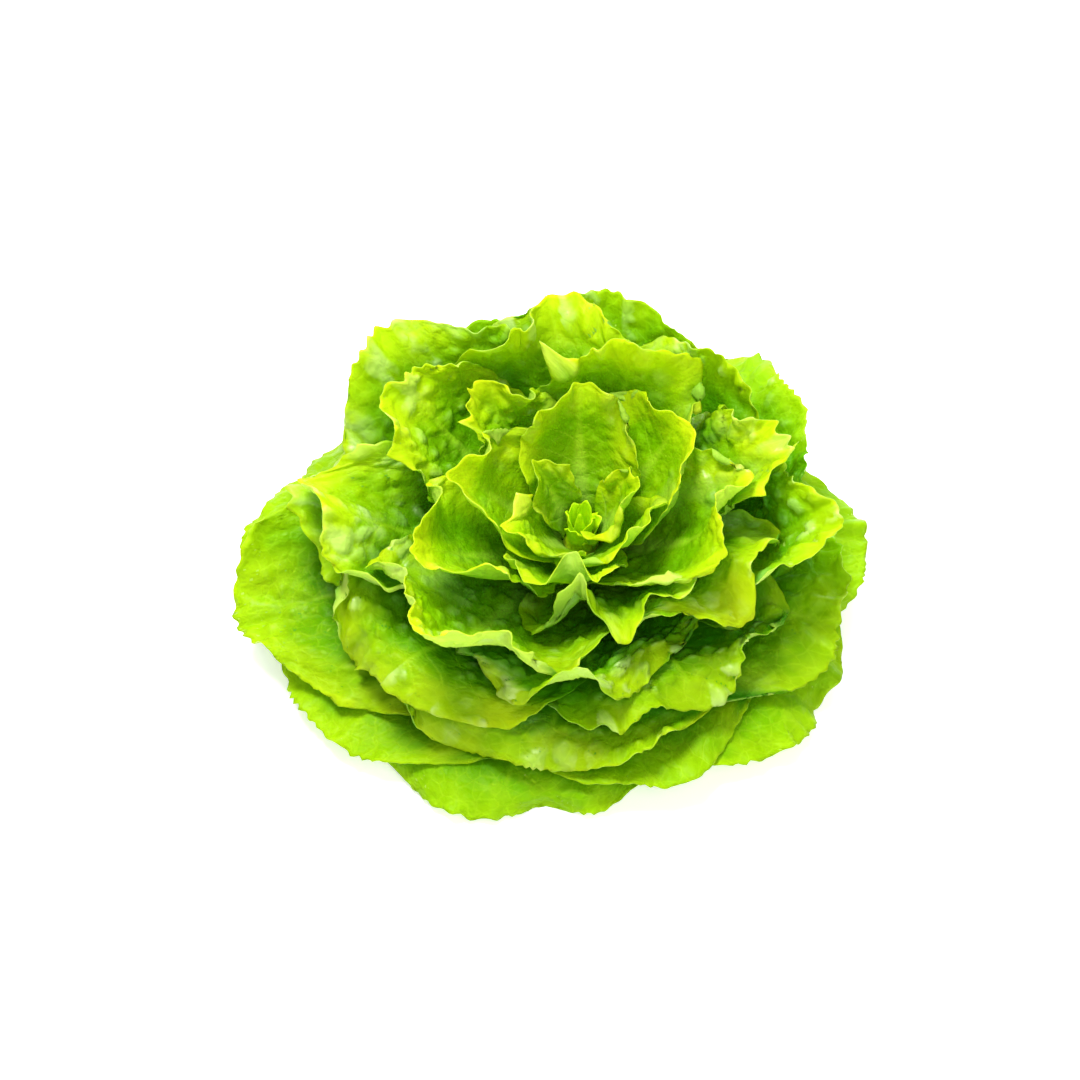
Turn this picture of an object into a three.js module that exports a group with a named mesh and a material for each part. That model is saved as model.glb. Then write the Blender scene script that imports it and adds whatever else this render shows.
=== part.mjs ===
// A head of butterhead lettuce, cut from the ground: a short stem with a flat cut face, leaves set round it
// by the golden angle, and the closed bud in the middle.
// Millimetres, +Z up. The origin is the centre of the cut face, and the photograph was taken from the -Y side.
import * as THREE from "three";

const { clamp, degToRad, lerp, smoothstep } = THREE.MathUtils;

// The head as a whole
const LEAF_COUNT = 42;
const GOLDEN_ANGLE = 137.508;
const FIRST_AZIMUTH = -98;
const LEAN_DEGREES = 9;
const LEAN_HEIGHT = 60;
const WIDER_BY = 0.05;
const LEFT_LONGER_BY = 0.06;

// The stem and the bud on it
const STEM_RADIUS = 16;
const STEM_TOP_RADIUS = 6;
const LOWEST_LEAF = 8;
const HIGHEST_LEAF = 44;
const STEM_RINGS = 6;
const BUD_RADIUS = 5.5;
const BUD_FOOT = 49;
const BUD_TOP = 67;
const BUD_RINGS = 9;
const BUD_WINDING = 4;
const BUD_RIDGE = 0.22;
const FIT_GAP = 0.6;

// The blades
const BLADE_THICKNESS = 0.9;
const WIDEST_AT = 0.58;
const FOOT_SHARE = 0.18;
const LEAST_FOOT = 5;
const LOWEST_MIDDLE = 0.7;

// Values at even steps of age, from the outermost leaf to the innermost: millimetres and degrees
const BY_AGE = {
  tipRadius: [134, 129, 118, 102, 80, 50, 18],
  tipHeight: [3, 18, 62, 94, 106, 108, 84],
  footAngle: [14, 28, 36, 40, 50, 68, 84],
  tipAngle: [-36, -10, 46, 76, 86, 92, 96],
  halfWidth: [72, 72, 66, 60, 50, 38, 15],
  flatness: [0.9, 0.6, 0.4, 0.25, 0.15, 0.1, 0],
  ruffle: [12, 13, 14, 15, 14, 11, 4],
  fold: [10, 11, 14, 17, 17, 13, 5],
  cup: [0, 0, 6, 10, 12, 8, 3],
  rollBack: [6, 8, 8, 6, 4, 3, 1],
  rows: [8, 8, 9, 9, 9, 8, 6],
  columns: [11, 11, 11, 11, 10, 8, 6],
};

// Leaves that the photograph shows well enough to set by hand, by number from the outermost
const SET_BY_HAND = {
  0: { turn: -6, tipRadius: 136, tipHeight: 2, halfWidth: 80 },
  2: { turn: -4, tipRadius: 140, tipHeight: 20 },
  3: { turn: 3, tipRadius: 135, tipHeight: 5 },
  4: { tipRadius: 114, tipHeight: 34 },
  5: { turn: -8, tipRadius: 137, tipHeight: 4 },
  6: { turn: 2, tipRadius: 128, tipHeight: 34, twist: 14 },
  7: { tipRadius: 122, tipHeight: 42 },
  8: { tipRadius: 98, tipHeight: 10 },
  9: { tipRadius: 110, tipHeight: 66, tipAngle: 50 },
  10: { turn: -4, tipRadius: 136, tipHeight: 28, halfWidth: 74 },
  11: { turn: 2, tipRadius: 114, tipHeight: 54, tipAngle: 20, halfWidth: 66, twist: 24 },
  12: { tipRadius: 104, tipHeight: 82, tipAngle: 62 },
  13: { turn: 14, tipRadius: 113, tipHeight: 32, tipAngle: -24, halfWidth: 86, rollBack: 10 },
  14: { tipRadius: 102, tipHeight: 86, tipAngle: 62, cup: 12 },
  15: { turn: 8, tipRadius: 108, tipHeight: 66, tipAngle: -24, footAngle: 56, halfWidth: 48 },
  16: { turn: -2, tipRadius: 84, tipHeight: 66, tipAngle: 25, rollBack: 16, twist: -14 },
  17: { tipRadius: 94, tipHeight: 94, cup: 14 },
  18: { turn: 9, tipRadius: 110, tipHeight: 50, tipAngle: -20, halfWidth: 64, rollBack: 10 },
  19: { tipRadius: 92, tipHeight: 92, halfWidth: 44, cup: 26, twist: 12 },
  20: { tipRadius: 96, tipHeight: 98, halfWidth: 48, cup: 20 },
  21: { tipRadius: 66, tipHeight: 60, tipAngle: 60, halfWidth: 56, cup: 4 },
  22: { tipRadius: 88, tipHeight: 98, halfWidth: 44, cup: 24 },
  23: { tipRadius: 86, tipHeight: 96, halfWidth: 44, cup: 16 },
  24: { tipRadius: 70, tipHeight: 84, tipAngle: 40, halfWidth: 44, rollBack: 18 },
  25: { tipRadius: 76, tipHeight: 106, halfWidth: 48, cup: 16 },
  27: { tipRadius: 74, tipHeight: 100, halfWidth: 34, cup: 22 },
  28: { tipRadius: 72, tipHeight: 106, halfWidth: 36, cup: 20 },
  29: { tipRadius: 46, tipHeight: 72, tipAngle: 70, halfWidth: 42 },
  30: { tipRadius: 60, tipHeight: 112, halfWidth: 40, cup: 12 },
  33: { turn: 10, tipRadius: 50, tipHeight: 96, halfWidth: 24, cup: 14 },
  34: { tipRadius: 28, tipHeight: 78, halfWidth: 30 },
  38: { turn: 3, tipRadius: 34, tipHeight: 106, halfWidth: 28, cup: 5, flatness: 1.3 },
};

// How the leaves are opened: small steps, each a share of the free room around a point
const STEPS = 36;
const LAST_STEPS = 14;
const STEP_SHARE = 0.35;
const LONGEST_STEP = 3;
const CLEARANCE = 1.9;
const FOOT_CLEARANCE = 1.25;
const LONGEST_PUSH = 0.5;
const HELD_SMOOTH = 0.85;
const NEAREST = 7;
const CELL = 15;

let seed = 4711;

// An even random draw between -spread and spread.
function draw(spread) {
  seed = (seed * 48271) % 2147483647;
  return ((2 * seed) / 2147483647 - 1) * spread;
}

function byAge(values, age) {
  const place = age * (values.length - 1);
  const below = Math.min(Math.floor(place), values.length - 2);
  return lerp(values[below], values[below + 1], place - below);
}

// The numbers that one leaf is shaped by. A leaf's own shape strays from the plain one of its age.
function leafSizes(number) {
  const age = number / (LEAF_COUNT - 1);
  const at = (name) => byAge(BY_AGE[name], age);
  const inner = 1 - 0.6 * age;
  const own = {
    turn: draw(5),
    tipRadius: at("tipRadius") + draw(9) * inner,
    tipHeight: Math.max(2, at("tipHeight") + draw(10) * inner),
    footAngle: at("footAngle") + draw(3),
    tipAngle: at("tipAngle") + draw(24) * inner,
    halfWidth: at("halfWidth") * (1 + draw(0.06 + 0.12 * age)),
    flatness: at("flatness") * (1 + draw(0.4)),
    cup: at("cup") * (1 + draw(0.9)),
    rollBack: at("rollBack") * (1 + draw(1)),
    twist: draw(12) * inner,
    ...SET_BY_HAND[number],
  };
  return {
    age,
    azimuth: degToRad(FIRST_AZIMUTH + GOLDEN_ANGLE * number + own.turn),
    footRadius: lerp(STEM_RADIUS, STEM_TOP_RADIUS, age) + FIT_GAP + BLADE_THICKNESS / 2,
    footHeight: lerp(LOWEST_LEAF, HIGHEST_LEAF, age),
    rows: Math.round(at("rows")),
    columns: Math.round(at("columns")),
    plain: {
      tipRadius: at("tipRadius"),
      tipHeight: at("tipHeight"),
      footAngle: at("footAngle"),
      tipAngle: at("tipAngle"),
      halfWidth: own.halfWidth,
      flatness: 0,
    },
    own,
    ruffle: at("ruffle"),
    fold: at("fold") * (1 + draw(0.4)),
    ruffles: [4, 7, 10].map((waves) => ({ waves: waves + draw(0.5), start: draw(Math.PI) })),
    folds: [2, 3.3].map((waves) => ({ waves: waves + draw(0.4), start: draw(Math.PI) })),
    notches: [4, 9].map((waves) => ({ waves: waves + draw(0.5), start: draw(Math.PI) })),
  };
}

function waves(list, angle) {
  const sum = list.reduce((total, wave) => total + Math.cos(wave.waves * angle + wave.start), 0);
  return sum / Math.sqrt(list.length);
}

// A point of the midrib, in the upright plane of the leaf: x is the distance from the head's axis.
function midrib(leaf, form, along) {
  const foot = new THREE.Vector2(leaf.footRadius, leaf.footHeight);
  const tip = new THREE.Vector2(form.tipRadius, form.tipHeight);
  const reach = 0.42 * foot.distanceTo(tip);
  const footWay = new THREE.Vector2(1, 0).rotateAround(new THREE.Vector2(), degToRad(form.footAngle));
  const tipWay = new THREE.Vector2(1, 0).rotateAround(new THREE.Vector2(), degToRad(form.tipAngle));
  const curve = new THREE.CubicBezierCurve(
    foot,
    foot.clone().addScaledVector(footWay, reach),
    tip.clone().addScaledVector(tipWay, -reach),
    tip,
  );
  return curve.getPoint(along);
}

// Where a grid point lies in the blade: across from -1 to 1, along from 0 to 1, and how near the rim it is.
function bladePlace(leaf, form, row, column) {
  const x = (2 * column) / leaf.columns - 1;
  const y = row / leaf.rows;
  let across;
  let along;
  let rim;
  if (y < WIDEST_AT) {
    const share = y / WIDEST_AT;
    const foot = Math.max(FOOT_SHARE, LEAST_FOOT / form.halfWidth);
    across = x * lerp(foot, 1, smoothstep(share, 0, 1));
    along = y;
    rim = Math.abs(x) * smoothstep(share, 0.3, 1);
  } else {
    const share = (y - WIDEST_AT) / (1 - WIDEST_AT);
    across = x * Math.sqrt(1 - share ** 2 / 2);
    along = lerp(WIDEST_AT, 1, share * Math.sqrt(1 - x ** 2 / 2));
    rim = (x ** 6 + share ** 6) ** (1 / 6);
  }
  rim = clamp(rim, 0, 1);
  const length = form.tipRadius - leaf.footRadius + Math.abs(form.tipHeight - leaf.footHeight) / 2;
  const angle = Math.atan2(across * form.halfWidth, (along - 0.2) * length);
  return { across, along, rim, angle };
}

// The blade without its waves: the midrib's line, swept round the head's axis or less than that.
function sweptGrid(leaf, form) {
  const points = [];
  for (let row = 0; row <= leaf.rows; row += 1) {
    for (let column = 0; column <= leaf.columns; column += 1) {
      const place = bladePlace(leaf, form, row, column);
      const notch = 1 + 0.035 * place.rim ** 4 * waves(leaf.notches, place.angle);
      const middle = midrib(leaf, form, clamp(WIDEST_AT + (place.along - WIDEST_AT) * notch, 0, 1.04));
      const sweep = middle.x * (1 + form.flatness * place.along);
      const turned = (place.across * form.halfWidth * notch) / sweep;
      const outward = middle.x - sweep * (1 - Math.cos(turned));
      const point = new THREE.Vector3(outward, sweep * Math.sin(turned), middle.y);
      points.push(point.applyAxisAngle(new THREE.Vector3(0, 0, 1), leaf.azimuth));
    }
  }
  return points;
}

const indexOf = (leaf, row, column) => row * (leaf.columns + 1) + column;

// The unit normals of a grid, towards the leaf's upper face.
function gridNormals(leaf, points) {
  return points.map((_, index) => {
    const row = Math.floor(index / (leaf.columns + 1));
    const column = index % (leaf.columns + 1);
    const at = (r, c) => points[indexOf(leaf, clamp(r, 0, leaf.rows), clamp(c, 0, leaf.columns))];
    const alongWay = at(row + 1, column).clone().sub(at(row - 1, column));
    const acrossWay = at(row, column + 1).clone().sub(at(row, column - 1));
    return alongWay.cross(acrossWay).normalize();
  });
}

const leanAt = (height) => degToRad(LEAN_DEGREES) * smoothstep(height, 0, LEAN_HEIGHT);

// The whole head is wider than deep, leans a little towards the front, and its left side is the longer.
function settle(point) {
  const radius = Math.hypot(point.x, point.y);
  const outer = smoothstep(radius, 20, 120);
  const longer = 1 - LEFT_LONGER_BY * (point.x / Math.max(radius, 1)) * outer;
  const lean = leanAt(point.z);
  point.x *= longer * (1 + WIDER_BY * outer);
  point.y *= longer * (1 - WIDER_BY * outer);
  return point.applyAxisAngle(new THREE.Vector3(1, 0, 0), lean);
}

const onFloor = (height) => (height + LOWEST_MIDDLE + Math.hypot(height - LOWEST_MIDDLE, 1)) / 2;

// The leaf as it would grow with nothing in its way: swept, then folded, ruffled and rolled back at the rim.
function ownGrid(leaf) {
  const points = sweptGrid(leaf, leaf.own);
  const normals = gridNormals(leaf, points);
  points.forEach((point, index) => {
    const row = Math.floor(index / (leaf.columns + 1));
    const column = index % (leaf.columns + 1);
    const { across, along, rim, angle } = bladePlace(leaf, leaf.own, row, column);
    const free = smoothstep(along, 0.1, 0.7);
    const lift =
      leaf.own.cup * free * across ** 2 +
      leaf.fold * free * Math.abs(across) ** 0.7 * waves(leaf.folds, angle) +
      leaf.ruffle * free * rim ** 2.5 * waves(leaf.ruffles, angle) +
      leaf.own.twist * free * across -
      leaf.own.rollBack * free * smoothstep(rim, 0.45, 1) ** 1.5;
    point.addScaledVector(normals[index], lift);
    settle(point);
    point.z = onFloor(point.z);
  });
  return points;
}

function plainGrid(leaf) {
  return sweptGrid(leaf, leaf.plain).map((point) => {
    settle(point);
    point.z = Math.max(point.z, LOWEST_MIDDLE);
    return point;
  });
}

// Where each point, and some more along the rim, is near another leaf: the corners on both sides, the
// distance, and the way off.
function findContacts(leaves) {
  const cells = cellsOf(leaves);
  const contacts = [];
  const near = new THREE.Vector3();
  leaves.forEach((leaf, owner) =>
    placesOf(leaf).forEach(({ from, point }) => {
      const closest = new Map();
      nearestCorners(cells, owner, point).forEach(({ corner }) => {
        trianglesRound(leaves[corner.owner], corner.index).forEach(({ triangle, at }) => {
          triangle.closestPointToPoint(point, near);
          const distance = near.distanceTo(point);
          if (distance < (closest.get(corner.owner)?.distance ?? Infinity)) {
            const way = point.clone().sub(near).divideScalar(Math.max(distance, 1e-6));
            closest.set(corner.owner, { owner, from, other: corner.owner, at, distance, way });
          }
        });
      });
      contacts.push(...closest.values());
    }),
  );
  return contacts;
}

// All corners, sorted into cubes, so that only those close by are looked through.
function cellsOf(leaves) {
  const cells = new Map();
  leaves.forEach((leaf, owner) =>
    leaf.points.forEach((point, index) => {
      const key = cellKey(point, 0, 0, 0);
      if (!cells.has(key)) cells.set(key, []);
      cells.get(key).push({ owner, index, point });
    }),
  );
  return cells;
}

const cellKey = (point, i, j, k) =>
  [point.x / CELL + i, point.y / CELL + j, point.z / CELL + k].map(Math.floor).join();

function placesOf(leaf) {
  const places = leaf.points.map((point, index) => ({ from: [index], point }));
  const rim = rimOf(leaf);
  rim.forEach((a, i) => {
    const b = rim[(i + 1) % rim.length];
    for (const share of [0.25, 0.5, 0.75]) {
      places.push({ from: [a, b], point: leaf.points[a].clone().lerp(leaf.points[b], share) });
    }
  });
  return places;
}

// How far each point may move: the distance to the nearest other leaf, and to the stem and bud.
function freeRooms(leaves, contacts) {
  const rooms = leaves.map((leaf) => leaf.points.map((point) => roomToStem(point)));
  const limit = (owner, corner, distance) => {
    rooms[owner][corner] = Math.min(rooms[owner][corner], distance);
  };
  contacts.forEach(({ owner, from, other, at, distance }) => {
    from.forEach((corner) => limit(owner, corner, distance));
    at.forEach((corner) => limit(other, corner, distance));
  });
  return rooms;
}

function roomToStem(point) {
  const axis = -point.z * Math.sin(leanAt(point.z));
  const room = Math.hypot(point.x, point.y - axis) - stemRadiusAt(point.z);
  return point.z > BUD_TOP ? Infinity : room;
}

// Leaves lie closer together at their feet.
function clearanceAt(leaf, index) {
  const row = Math.floor(index / (leaf.columns + 1));
  return lerp(FOOT_CLEARANCE, CLEARANCE, smoothstep(row / leaf.rows, 0.1, 0.45));
}

// Moves each pair that is too near apart by half of what is missing.
function pushApart(leaves, contacts) {
  const pushes = leaves.map((leaf) => leaf.points.map(() => ({ sum: new THREE.Vector3(), count: 0 })));
  const add = (push, way, amount) => {
    push.sum.addScaledVector(way, amount);
    push.count += 1;
  };
  contacts.forEach(({ owner, from, other, at, distance, way }) => {
    const wanted = Math.min(clearanceAt(leaves[owner], from[0]), clearanceAt(leaves[other], at[0]));
    const missing = Math.min((wanted - distance) / 2, LONGEST_PUSH);
    if (missing <= 0) return;
    from.forEach((corner) => add(pushes[owner][corner], way, missing));
    at.forEach((corner) => add(pushes[other][corner], way, -missing));
  });
  leaves.forEach((leaf, owner) => {
    leaf.points.forEach((point, index) => {
      const { sum, count } = pushes[owner][index];
      const pinned = index <= leaf.columns;
      if (count && !pinned) point.addScaledVector(sum, 1 / count);
    });
  });
}

function nearestCorners(cells, owner, point) {
  const best = [];
  for (const i of [-1, 0, 1]) {
    for (const j of [-1, 0, 1]) {
      for (const k of [-1, 0, 1]) {
        for (const corner of cells.get(cellKey(point, i, j, k)) ?? []) {
          if (corner.owner === owner) continue;
          const distance = corner.point.distanceToSquared(point);
          if (best.length === NEAREST && distance >= best[NEAREST - 1].distance) continue;
          best.push({ corner, distance });
          best.sort((a, b) => a.distance - b.distance);
          best.length = Math.min(best.length, NEAREST);
        }
      }
    }
  }
  return best;
}

function trianglesRound(leaf, index) {
  const row = Math.floor(index / (leaf.columns + 1));
  const column = index % (leaf.columns + 1);
  const found = [];
  for (let r = Math.max(row - 1, 0); r <= Math.min(row, leaf.rows - 1); r += 1) {
    for (let c = Math.max(column - 1, 0); c <= Math.min(column, leaf.columns - 1); c += 1) {
      const [a, b, d, e] = quadCorners(leaf, r, c);
      found.push(triangleOf(leaf, [a, b, d]), triangleOf(leaf, [a, d, e]));
    }
  }
  return found;
}

function triangleOf(leaf, at) {
  return { at, triangle: new THREE.Triangle(...at.map((corner) => leaf.points[corner])) };
}

const quadCorners = (leaf, row, column) => [
  indexOf(leaf, row, column),
  indexOf(leaf, row, column + 1),
  indexOf(leaf, row + 1, column + 1),
  indexOf(leaf, row + 1, column),
];

function rimOf(leaf) {
  const rim = [];
  for (let c = 0; c < leaf.columns; c += 1) rim.push(indexOf(leaf, 0, c));
  for (let r = 0; r < leaf.rows; r += 1) rim.push(indexOf(leaf, r, leaf.columns));
  for (let c = leaf.columns; c > 0; c -= 1) rim.push(indexOf(leaf, leaf.rows, c));
  for (let r = leaf.rows; r > 0; r -= 1) rim.push(indexOf(leaf, r, 0));
  return rim;
}

// The values round each grid point, handed to a function that makes one of them.
function fromNeighbours(leaf, values, combine) {
  return values.map((_, index) => {
    const row = Math.floor(index / (leaf.columns + 1));
    const column = index % (leaf.columns + 1);
    const found = [];
    for (let r = row - 1; r <= row + 1; r += 1) {
      for (let c = column - 1; c <= column + 1; c += 1) {
        found.push(values[indexOf(leaf, clamp(r, 0, leaf.rows), clamp(c, 0, leaf.columns))]);
      }
    }
    return combine(found);
  });
}

const meanOf = (numbers) => numbers.reduce((sum, number) => sum + number, 0) / numbers.length;

function meanPoint(points) {
  const sum = new THREE.Vector3();
  points.forEach((point) => sum.add(point));
  return sum.divideScalar(points.length);
}

// Draws every leaf from its plain nested cup towards its own shape. No step is longer than a share of the
// room around the point, so leaves press and bend each other, and never cross.
function openLeaves(leaves) {
  for (let step = 0; step < STEPS + LAST_STEPS; step += 1) {
    const contacts = findContacts(leaves);
    if (step < STEPS) {
      const rooms = freeRooms(leaves, contacts);
      leaves.forEach((leaf, owner) => openFurther(leaf, rooms[owner]));
    }
    pushApart(leaves, contacts);
    leaves.forEach((leaf) => {
      leaf.points.forEach((point) => {
        point.z = Math.max(point.z, LOWEST_MIDDLE);
      });
    });
  }
}

function openFurther(leaf, rooms) {
  const held = leaf.points.map((point, index) => point.clone().sub(leaf.goal[index]));
  const moves = fromNeighbours(leaf, held, meanPoint).map((away, index) =>
    away.multiplyScalar(HELD_SMOOTH).add(leaf.goal[index]).sub(leaf.points[index]),
  );
  const shares = moves.map((move, index) => {
    const room = Math.max(0, rooms[index] - clearanceAt(leaf, index));
    const free = Math.min(LONGEST_STEP, STEP_SHARE * room);
    return Math.min(1, free / Math.max(move.length(), 1e-6));
  });
  const least = fromNeighbours(leaf, shares, (found) => Math.min(...found));
  const even = fromNeighbours(leaf, least, meanOf);
  leaf.points.forEach((point, index) =>
    point.addScaledVector(moves[index], Math.min(even[index], shares[index])),
  );
}

// A closed solid of even thickness on both sides of a grid, split into triangles alike on both faces.
function bladeGeometry(leaf) {
  const normals = gridNormals(leaf, leaf.points);
  const upper = leaf.points.map((point, i) => point.clone().addScaledVector(normals[i], BLADE_THICKNESS / 2));
  const lower = leaf.points.map((point, i) => point.clone().addScaledVector(normals[i], -BLADE_THICKNESS / 2));
  const count = leaf.points.length;
  const faces = [];
  for (let row = 0; row < leaf.rows; row += 1) {
    for (let column = 0; column < leaf.columns; column += 1) {
      const [a, b, c, d] = quadCorners(leaf, row, column);
      faces.push(a, c, b, a, d, c);
      faces.push(a + count, b + count, c + count, a + count, c + count, d + count);
    }
  }
  const rim = rimOf(leaf);
  rim.forEach((a, i) => {
    const b = rim[(i + 1) % rim.length];
    faces.push(a, b, b + count, a, b + count, a + count);
  });
  const geometry = new THREE.BufferGeometry().setFromPoints([...upper, ...lower]);
  geometry.setIndex(faces);
  geometry.computeVertexNormals();
  return geometry;
}

function stemRadiusAt(height) {
  if (height < BUD_FOOT) {
    const age = clamp((height - LOWEST_LEAF) / (HIGHEST_LEAF - LOWEST_LEAF), 0, 1);
    return lerp(STEM_RADIUS, STEM_TOP_RADIUS, age);
  }
  return BUD_RADIUS * Math.sqrt(clamp((BUD_TOP - height) / (BUD_TOP - BUD_FOOT), 0, 1));
}

function stemMesh() {
  const chamfer = 0.8;
  const profile = [
    new THREE.Vector2(0, 0),
    new THREE.Vector2(STEM_RADIUS - chamfer, 0),
    new THREE.Vector2(STEM_RADIUS, chamfer),
  ];
  for (let step = 0; step <= STEM_RINGS; step += 1) {
    const height = lerp(LOWEST_LEAF, HIGHEST_LEAF, step / STEM_RINGS);
    profile.push(new THREE.Vector2(stemRadiusAt(height), height));
  }
  profile.push(new THREE.Vector2(STEM_TOP_RADIUS - 1, BUD_FOOT - FIT_GAP));
  profile.push(new THREE.Vector2(0, BUD_FOOT - FIT_GAP));
  const geometry = settled(new THREE.LatheGeometry(profile, 24).rotateX(Math.PI / 2));
  const material = new THREE.MeshStandardMaterial({ color: 0xdde5b4, roughness: 0.6, metalness: 0 });
  const mesh = new THREE.Mesh(geometry, material);
  mesh.name = "stem";
  return mesh;
}

// The closed bud: leaves too small to part, drawn as ridges that wind up to its tip.
function budMesh() {
  const profile = [new THREE.Vector2(0, BUD_FOOT), new THREE.Vector2(0.7 * BUD_RADIUS, BUD_FOOT)];
  for (let ring = 1; ring < BUD_RINGS; ring += 1) {
    const height = lerp(BUD_FOOT, BUD_TOP, ring / BUD_RINGS);
    profile.push(new THREE.Vector2(stemRadiusAt(height) - FIT_GAP, height));
  }
  profile.push(new THREE.Vector2(0, BUD_TOP - FIT_GAP));
  const geometry = new THREE.LatheGeometry(profile, 24).rotateX(Math.PI / 2);
  const position = geometry.getAttribute("position");
  for (let i = 0; i < position.count; i += 1) {
    const [x, y, z] = [position.getX(i), position.getY(i), position.getZ(i)];
    const wound = 3 * Math.atan2(y, x) + (BUD_WINDING * (z - BUD_FOOT)) / (BUD_TOP - BUD_FOOT);
    const inward = 1 - BUD_RIDGE * (0.5 - 0.5 * Math.cos(wound));
    position.setXY(i, x * inward, y * inward);
  }
  const material = new THREE.MeshStandardMaterial({ color: 0xcfdc6a, roughness: 0.5, metalness: 0 });
  const mesh = new THREE.Mesh(settled(geometry), material);
  mesh.name = "heart_bud";
  return mesh;
}

function settled(geometry) {
  const position = geometry.getAttribute("position");
  const point = new THREE.Vector3();
  for (let i = 0; i < position.count; i += 1) {
    settle(point.fromBufferAttribute(position, i));
    position.setXYZ(i, point.x, point.y, point.z);
  }
  return geometry;
}

function leafMesh(leaf, number) {
  const color = new THREE.Color(0x4f9a14).lerp(new THREE.Color(0xb5d83a), leaf.age);
  const material = new THREE.MeshStandardMaterial({ color, roughness: 0.45, metalness: 0 });
  const mesh = new THREE.Mesh(bladeGeometry(leaf), material);
  mesh.name = `leaf_${String(number + 1).padStart(2, "0")}`;
  return mesh;
}

const leaves = Array.from({ length: LEAF_COUNT }, (_, number) => leafSizes(number));
leaves.forEach((leaf) => {
  leaf.points = plainGrid(leaf);
  leaf.goal = ownGrid(leaf);
});
openLeaves(leaves);

const head = new THREE.Group();
head.add(stemMesh());
head.add(budMesh());
leaves.forEach((leaf, number) => head.add(leafMesh(leaf, number)));

export default head;
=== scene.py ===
"""The looks of an open head of butterhead lettuce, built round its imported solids. Metres, +Z up."""

import math

import bpy
import numpy as np
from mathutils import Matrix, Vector
from mathutils.bvhtree import BVHTree


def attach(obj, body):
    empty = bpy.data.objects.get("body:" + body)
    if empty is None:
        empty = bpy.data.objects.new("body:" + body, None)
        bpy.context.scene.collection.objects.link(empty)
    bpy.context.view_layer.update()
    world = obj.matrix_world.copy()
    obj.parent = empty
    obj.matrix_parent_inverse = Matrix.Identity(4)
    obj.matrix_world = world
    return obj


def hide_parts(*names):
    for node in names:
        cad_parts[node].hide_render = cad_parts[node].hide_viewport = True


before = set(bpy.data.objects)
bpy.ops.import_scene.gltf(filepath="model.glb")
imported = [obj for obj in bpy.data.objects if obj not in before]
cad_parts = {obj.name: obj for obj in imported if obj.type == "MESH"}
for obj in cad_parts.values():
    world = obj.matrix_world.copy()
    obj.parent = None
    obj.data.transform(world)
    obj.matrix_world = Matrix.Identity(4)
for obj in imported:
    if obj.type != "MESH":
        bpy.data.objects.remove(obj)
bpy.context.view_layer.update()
scene = bpy.context.scene
MM = 0.001

# The solids' blades, as part.mjs lays them out
BLADE_THICKNESS = 0.9 * MM
WIDEST_AT = 0.58
FOOT_SHARE = 0.18
SAME_LENGTH = 0.004 * MM

# The fine blades
FINE = 8  # fine steps along one step of a solid's grid
HALF_THICKNESS = 0.24 * MM
RIM_HALF_THICKNESS = 0.16 * MM
LOOK_AHEAD = 13 * MM  # how far a blade looks for its neighbours
HELD_APART = 0.6 * MM  # taken off the room to a neighbour before it is shared
LIFT_SHARE = 0.38  # the share of the room that relief may take
RIB_SHARE = 0.2  # the share that ribs on the back may take besides
OPEN_REACH = 70 * MM  # how far off another blade still shades a point
LOWEST_UPPER_FACE = 0.32 * MM
LOWEST_LOWER_FACE = 0.02 * MM

# Sizes of the relief, in mm
BLISTER_SIZE = 9.5
BLISTER_HEIGHT = 2.1
WAVE_HEIGHT = 1.8
FRILL_HEIGHT = 3.4
FRILL_LENGTH = 21.0
LOBE_DEPTH = 2.1
LOBE_LENGTH = 17.0
TOOTH_DEPTH = 1.4
TOOTH_LENGTH = 5.2
VEIN_SPACING = 15.0
MIDRIB_HEIGHT = 2.6
SIDE_RIB_HEIGHT = 0.35


# Reading a leaf's grid back


def welded(mesh):
    """The mesh's vertices with equal ones joined, and its triangles."""
    mesh.calc_loop_triangles()
    co = np.zeros(len(mesh.vertices) * 3)
    mesh.vertices.foreach_get("co", co)
    corners = np.zeros(len(mesh.loop_triangles) * 3, np.int32)
    mesh.loop_triangles.foreach_get("vertices", corners)
    points, inverse = np.unique(np.round(co.reshape(-1, 3), 7), axis=0, return_inverse=True)
    return points, inverse.reshape(-1)[corners].reshape(-1, 3)


def faces_apart(triangles):
    """Splits triangles into groups that share no vertex."""
    group = {}

    def root(v):
        while group.setdefault(v, v) != v:
            v = group[v]
        return v

    for a, b, c in triangles:
        group[root(a)] = root(b)
        group[root(b)] = root(c)
    found = {}
    for triangle in triangles:
        found.setdefault(root(triangle[0]), []).append(triangle)
    return list(found.values())


def walked_grid(points, triangles):
    """Rows of vertices of one face of a blade, from the foot to the tip, and the side it faces."""
    third, count = {}, {}
    for t in triangles:
        for i in range(3):
            third[(t[i], t[(i + 1) % 3])] = t[(i + 2) % 3]
            count[t[i]] = count.get(t[i], 0) + 1
    after = {a: b for a, b in third if (b, a) not in third}
    start = next(v for v in after if count[v] < 3)
    loop = [start]
    while after[loop[-1]] != start:
        loop.append(after[loop[-1]])
    corners = [i for i, v in enumerate(loop) if count[v] < 3] + [len(loop)]
    loop.append(start)
    sides = [loop[a : b + 1] for a, b in zip(corners, corners[1:])]

    def length(side):
        return sum(np.linalg.norm(points[a] - points[b]) for a, b in zip(side, side[1:]))

    row = min(sides, key=length)
    for flip in (True, False):
        rows = rows_from(row[::-1] if flip else row, third, flip)
        if rows is not None and len(rows) * len(rows[0]) == len(count):
            break
    facing = np.zeros(3)
    for a, b, c in triangles:
        facing += np.cross(points[b] - points[a], points[c] - points[a])
    return rows, facing


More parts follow.
